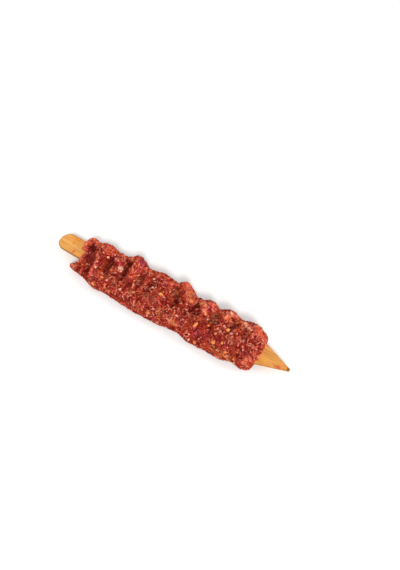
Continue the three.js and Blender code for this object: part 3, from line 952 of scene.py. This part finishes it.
def sinew_tube(route, radius):
    """A tube along a route, drawn to a point at both ends."""
    points = []
    faces = []
    count = len(route)
    centres = np.array([point for point, _ in route])
    aheads = unit(np.gradient(centres, axis=0))
    for step, (centre, up) in enumerate(route):
        across = np.cross(aheads[step], up)
        thick = radius * math.sin(math.pi * (step + 0.5) / count) ** 0.5
        for side in range(SINEW_SIDES):
            angle = 2 * math.pi * side / SINEW_SIDES
            outward = math.cos(angle) * across + math.sin(angle) * up
            points.append(centre + up * radius * SINEW_RISE + thick * outward)
    for step in range(count - 1):
        for side in range(SINEW_SIDES):
            here = step * SINEW_SIDES + side
            beside = step * SINEW_SIDES + (side + 1) % SINEW_SIDES
            faces.append((here, beside, beside + SINEW_SIDES, here + SINEW_SIDES))
    last = (count - 1) * SINEW_SIDES
    faces.append(tuple(reversed(range(SINEW_SIDES))))
    faces.append(tuple(range(last, last + SINEW_SIDES)))
    return points, faces


def make_sinews(material, mince, sight, rng):
    """The sinews that are named, then those strewn over the mince, all joined in one mesh."""
    points = []
    faces = []
    places = open_places(mince.data)
    tubes = [sinew_tube(named_route(stops, sight), NAMED_SINEW_RADIUS) for stops in NAMED_SINEWS]
    for index in rng.integers(len(places), size=SINEWS["count"]):
        route = sinew_route(Vector(places[index]), sight, rng)
        tubes.append(sinew_tube(route, MM * rng.uniform(*SINEWS["radius"])))
    for tube_points, tube_faces in tubes:
        faces += [tuple(corner + len(points) for corner in face) for face in tube_faces]
        points += tube_points
    mesh = mesh_from_arrays("sinews", held_in_box(np.array(points)).tolist(), faces)
    mesh.shade_smooth()
    mesh.materials.append(material)
    stand_for_meat(new_object("sinews", mesh))


# ------------ materials

# Colours of the lean meat, from the darkest grains to the palest.
LEAN = [
    (0.0, (0.11, 0.002, 0.001)),
    (0.25, (0.19, 0.006, 0.003)),
    (0.5, (0.30, 0.017, 0.008)),
    (0.75, (0.46, 0.041, 0.021)),
    (1.0, (0.76, 0.158, 0.092)),
]
# Fine noise all over the mince, and the range that most values of a noise lie in.
FINE_NOISE = (800.0, 3.0, 0.65)
USUAL = (0.3, 0.7)
# What picks a colour of LEAN is a sum: the most that a grain and a clump of grains add to it, and
# what the fine noise and a streak add at their lowest and highest. Streaks tell more where calm.
GRAIN_TONE = 0.46
CLUMP_TONE = 0.1
FINE_TONE = (-0.26, 0.58)
STREAK_TONE = (-0.15, 0.15)
CALM_STREAK = 1.8
# Blotches: colour, scale of their noise, and the values at which they begin and are full.
BLOTCHES = [
    ((0.22, 0.008, 0.013), 130.0, 0.52, 0.70),
    ((0.42, 0.055, 0.012), 150.0, 0.50, 0.32),
]
BLOTCH_STRENGTH = 0.7
# Grains whose kind, from 0 to 1, is over these values are paler, and threads too, less so where calm.
SALMON = (0.80, 0.25, 0.15)
PALE_KINDS = (0.85, 0.88)
PALE_GRAIN = 0.8
PALE_THREAD = 0.6
CALM_PALE = 0.3
# Gaps between grains are painted dark, as shade between them: how far the mince is raised where that begins,
# and where it is full.
GAP_SHADE_COLOUR = (0.08, 0.002, 0.001)
GAP_SHADE_RANGE = (0.34, 0.02)
GAP_SHADE_STRENGTH = 0.78
MINCE_ROUGHNESS = (0.28, 0.5)
MINCE_BUMP = {"distance": 0.4 * MM, "strength": 0.9}
MINCE_FINISH = {
    "Subsurface Weight": 0.3,
    "Subsurface Radius": (1.0, 0.2, 0.1),
    "Subsurface Scale": 0.9 * MM,
    "Specular IOR Level": 0.3,
    "Coat Weight": 0.22,
    "Coat Roughness": 0.14,
}
# Colours of the tints, how they are laid over the meat, and how strongly. The brown, dent and groove
# tints are painted shade, the brown one also browner; the low one darkens the strip along the floor.
TINT_COLOURS = {
    "brown_and_shade": ((0.58, 0.66, 0.66), "MULTIPLY", 0.8),
    "dent": ((0.80, 0.76, 0.72), "MULTIPLY", 0.5),
    "groove": ((0.74, 0.66, 0.62), "MULTIPLY", 0.7),
    "low": ((0.75, 0.60, 0.60), "MULTIPLY", 0.8),
    "salmon": ((0.72, 0.19, 0.105), "MIX", 0.15),
    "orange": ((0.68, 0.17, 0.035), "COLOR", 0.7),
    "magenta": ((0.36, 0.020, 0.042), "COLOR", 0.6),
    "tan": ((0.52, 0.21, 0.10), "MIX", 0.4),
    "purple": ((0.23, 0.028, 0.072), "MIX", 0.75),
    "flush": ((0.86, 0.18, 0.075), "MIX", 0.5),
}


def set_evenly(shader, settings):
    """Sets what is the same all over a surface."""
    for name, value in settings.items():
        shader.inputs[name].default_value = value


def mince_mottling(nodes, fine, calm):
    """The value that picks a colour of LEAN at each point; its lift holds painted light on ridges, in part
    on folds, and painted shade in valleys, dents and grooves.
    """
    streak = nodes.span(nodes.attribute("streak"), 0.0, 1.0, *STREAK_TONE)
    parts = [
        nodes.maths("MULTIPLY", nodes.attribute("tone"), GRAIN_TONE),
        nodes.maths("MULTIPLY", nodes.attribute("clump_tone"), CLUMP_TONE),
        nodes.span(fine, *USUAL, *FINE_TONE),
        nodes.attribute("lift"),
        nodes.maths("MULTIPLY", streak, nodes.span(calm, 0.0, 1.0, 1.0, CALM_STREAK)),
    ]
    total = parts[0]
    for part in parts[1:]:
        total = nodes.maths("ADD", total, part)
    return total


def pale_share(nodes, calm):
    """How far each point is a pale grain or a pale thread."""
    grain = nodes.span(nodes.attribute("kind"), *PALE_KINDS, 0.0, PALE_GRAIN)
    thread = nodes.maths("MULTIPLY", nodes.attribute("thread"), PALE_THREAD)
    pale = nodes.maths("MAXIMUM", grain, thread)
    return nodes.maths("MULTIPLY", pale, nodes.span(calm, 0.0, 1.0, 1.0, CALM_PALE))


def mince_material():
    """Moist raw mince: mottled lean meat under blotches, tints, pale grains and painted shade in its gaps;
    some tints and lifts are painted light on ridges and painted shade in hollows.
    """
    material, shader, nodes = new_material("raw_mince")
    spot = nodes.position()
    fine = nodes.noise(spot, *FINE_NOISE)
    calm = nodes.attribute("calm")
    colour = nodes.ramp(mince_mottling(nodes, fine, calm), LEAN)
    for blotch, scale, begins, full in BLOTCHES:
        share = nodes.span(nodes.noise(spot, scale), begins, full, 0.0, BLOTCH_STRENGTH)
        colour = nodes.mix(share, colour, blotch)
    # Some tints paint shade in the valleys, dents and grooves, and darken the strip along the floor.
    for name, (tint, laid, strength) in TINT_COLOURS.items():
        colour = nodes.mix(nodes.maths("MULTIPLY", nodes.attribute(name), strength), colour, tint, laid)
    colour = nodes.mix(pale_share(nodes, calm), colour, SALMON)
    # Painted shade in the gaps between grains.
    gap_shade = nodes.span(nodes.attribute("raised"), *GAP_SHADE_RANGE, 0.0, GAP_SHADE_STRENGTH)
    nodes.feed(shader.inputs["Base Color"], nodes.mix(gap_shade, colour, GAP_SHADE_COLOUR))
    nodes.feed(shader.inputs["Roughness"], nodes.span(fine, *USUAL, *MINCE_ROUGHNESS))
    nodes.feed(shader.inputs["Normal"], nodes.bump(fine, **MINCE_BUMP))
    set_evenly(shader, MINCE_FINISH)
    return material


# The dullest and the brightest colour of each kind of bit.
BIT_COLOURS = {
    "fat_bits": ((0.52, 0.19, 0.13), (0.70, 0.42, 0.33)),
    "pale_bits": ((0.62, 0.19, 0.11), (0.86, 0.42, 0.29)),
    "pepper_bits": ((0.62, 0.13, 0.035), (0.84, 0.32, 0.105)),
    "sinews": ((0.62, 0.19, 0.13), (0.80, 0.38, 0.28)),
}
# How far a bit's own tone and its blotches brighten it. Sinews have blotches alone.
BIT_TONE = 0.7
BIT_BLOTCH_TONE = 0.3
BIT_BLOTCH_SCALE = 700.0
BIT_BUMP = {"distance": 0.15 * MM, "strength": 0.6}
BIT_FINISH = {
    "Roughness": 0.35,
    "Subsurface Weight": 0.3,
    "Subsurface Radius": (1.0, 0.5, 0.35),
    "Subsurface Scale": 0.8 * MM,
}


def bit_material(name):
    """Moist translucent bits, each a little different between two colours."""
    material, shader, nodes = new_material(name)
    dull, bright = BIT_COLOURS[name]
    blotch = nodes.noise(nodes.position(), BIT_BLOTCH_SCALE)
    own_tone = nodes.maths("MULTIPLY", nodes.attribute("tone"), BIT_TONE)
    mottled = nodes.maths("ADD", own_tone, nodes.span(blotch, *USUAL, 0.0, BIT_BLOTCH_TONE))
    nodes.feed(shader.inputs["Base Color"], nodes.mix(mottled, dull, bright))
    nodes.feed(shader.inputs["Normal"], nodes.bump(blotch, **BIT_BUMP))
    set_evenly(shader, BIT_FINISH)
    return material


GOLDEN = (0.68, 0.21, 0.020)
# Painted reflection of the meat's orange light on the wood, in two tones.
MEAT_REFLECTION = (0.78, 0.32, 0.035)
PALE_MEAT_REFLECTION = (0.78, 0.32, 0.045)
RED_STAIN = (0.60, 0.105, 0.035)
BROWN_STAIN = (0.52, 0.14, 0.008)
TIP_STAIN = (0.22, 0.075, 0.015)
# Stains on the stick, and by the meat's ends painted reflection of its orange light: place along and across
# it and radius in mm, colour, and strength.
WOOD_STAINS = [
    ((-115.4, 8.2), 1.6, GOLDEN, 0.6),
    ((-110.5, 7.2), 2.4, GOLDEN, 0.9),
    ((-107.0, 6.8), 2.0, GOLDEN, 0.8),
    ((-108.8, 1.9), 1.8, GOLDEN, 0.7),
    ((-104.5, 2.3), 1.5, GOLDEN, 0.6),
    ((-102.6, -6.3), 1.8, BROWN_STAIN, 0.95),
    # These two spots by the meat's ends are painted reflection of its orange light.
    ((-95.5, -7.1), 2.2, MEAT_REFLECTION, 0.7),
    ((104.3, -2.8), 2.6, PALE_MEAT_REFLECTION, 0.6),
    ((114.0, -3.4), 1.4, RED_STAIN, 0.5),
    ((116.4, -2.8), 1.7, RED_STAIN, 1.0),
    ((121.0, -0.6), 2.2, BROWN_STAIN, 0.3),
    ((124.6, -0.2), 1.7, TIP_STAIN, 0.9),
]
# The wood is paler at the butt than at the point: values of the bands' noise, and their colours.
BUTT_WOOD = [(0.32, (0.64, 0.27, 0.056)), (0.5, (0.73, 0.34, 0.078)), (0.66, (0.80, 0.41, 0.115))]
POINT_WOOD = [(0.32, (0.58, 0.23, 0.045)), (0.5, (0.70, 0.31, 0.067)), (0.66, (0.80, 0.40, 0.115))]
# Noises drawn out along the stick: waves in a metre along, across and up, and their detail.
WOOD_BANDS = ((25.0, 420.0, 420.0), 3.0)
WOOD_LINES = ((70.0, 900.0, 900.0), 2.0)
WOOD_FIBRES = ((60.0, 2400.0, 2400.0), 3.0)
WOOD_NOISE_ROUGHNESS = 0.6
# Lines and fibres show where their noise is over these values, lines by strengths at butt and point.
GRAIN_LINE = (0.42, 0.15, 0.03)
LINE_RANGE = (0.50, 0.66)
LINE_STRENGTH = (0.3, 0.75)
FIBRE_RANGE = (0.4, 0.7)
FIBRE_STRENGTH = 0.25
# The rim of the face is painted darker, as shade on the stick's edges: where inside the outline it
# begins and is full, and its strengths at butt and point.
RIM_SHADE = (0.26, 0.10, 0.03)
RIM_SHADE_RANGE = (1.1 * MM, 0.3 * MM)
RIM_SHADE_STRENGTH = (0.8, 0.2)
WOOD_FINISH = {"Roughness": 0.62}
WOOD_BUMP = {"distance": 0.12 * MM, "strength": 0.5}
# Half-widths of the stick at its butt, its shoulder and its tip, and the length of its taper.
BUTT_HALF = 9.4 * MM
SHOULDER_HALF = 9.9 * MM
TIP_HALF = 1.4 * MM
TAPER = 25.5 * MM


def edge_distance(nodes, x, y):
    """How far a point of the stick lies inside its outline, seen from above."""
    butt_x = STICK_LOW.x + BUTT_HALF
    shoulder_x = STICK_HIGH.x - TAPER
    past_butt = nodes.maths("MINIMUM", nodes.maths("SUBTRACT", x, butt_x), 0.0)
    squares = nodes.maths("ADD", nodes.maths("POWER", past_butt, 2.0), nodes.maths("POWER", y, 2.0))
    blade_half = nodes.span(x, butt_x, shoulder_x, BUTT_HALF, SHOULDER_HALF)
    taper_half = nodes.span(x, shoulder_x, STICK_HIGH.x - TIP_HALF, SHOULDER_HALF, TIP_HALF)
    half = nodes.maths("MINIMUM", blade_half, taper_half)
    return nodes.maths("SUBTRACT", half, nodes.maths("SQRT", squares))


def drawn_out_noise(nodes, waves, detail):
    """Noise with its waves drawn out along the stick."""
    return nodes.noise(nodes.position(waves), 1.0, detail, WOOD_NOISE_ROUGHNESS)


def wood_material():
    """Pale wood with lines and fibres along it, stained by the meat, with painted reflection of the meat by
    its ends and painted shade at its rim.
    """
    material, shader, nodes = new_material("pale_wood")
    split = nodes.add("ShaderNodeSeparateXYZ", {"Vector": nodes.position()})
    x = split.outputs["X"]
    y = nodes.maths("SUBTRACT", split.outputs["Y"], STICK_MIDDLE.y)
    bands = drawn_out_noise(nodes, *WOOD_BANDS)
    lines = drawn_out_noise(nodes, *WOOD_LINES)
    fibres = drawn_out_noise(nodes, *WOOD_FIBRES)
    pointward = nodes.span(x, STICK_LOW.x, STICK_HIGH.x)
    colour = nodes.mix(pointward, nodes.ramp(bands, BUTT_WOOD), nodes.ramp(bands, POINT_WOOD))
    line_strength = nodes.span(pointward, 0.0, 1.0, *LINE_STRENGTH)
    line_share = nodes.maths("MULTIPLY", nodes.span(lines, *LINE_RANGE), line_strength)
    colour = nodes.mix(line_share, colour, GRAIN_LINE)
    colour = nodes.mix(nodes.span(fibres, *FIBRE_RANGE, 0.0, FIBRE_STRENGTH), colour, GRAIN_LINE)
    for place_on_stick, radius, stain, strength in WOOD_STAINS:
        centre = place(*place_on_stick, STICK_HIGH.z / MM)
        colour = nodes.mix(nodes.maths("MULTIPLY", nodes.spot(centre, radius * MM), strength), colour, stain)
    # Painted shade along the rim of the stick's face.
    rim_shade = nodes.span(edge_distance(nodes, x, y), *RIM_SHADE_RANGE)
    rim_shade_share = nodes.maths("MULTIPLY", rim_shade, nodes.span(pointward, 0.0, 1.0, *RIM_SHADE_STRENGTH))
    nodes.feed(shader.inputs["Base Color"], nodes.mix(rim_shade_share, colour, RIM_SHADE))
    nodes.feed(shader.inputs["Normal"], nodes.bump(lines, **WOOD_BUMP))
    set_evenly(shader, WOOD_FINISH)
    return material


# ------------ scene

add_camera()
add_world()
for light in LIGHTS:
    add_light(*light)
add_floor()

mince = make_mince()
mince.data.materials.append(mince_material())
sight = Sight(mince.data)
strew = np.random.default_rng(SEED + 1)
for bits in NAMED_BITS:
    make_bits(bits, bit_material(bits), mince, sight, strew)
make_sinews(bit_material("sinews"), mince, sight, strew)

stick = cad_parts["stick"]
stick.data.materials.clear()
stick.data.materials.append(wood_material())
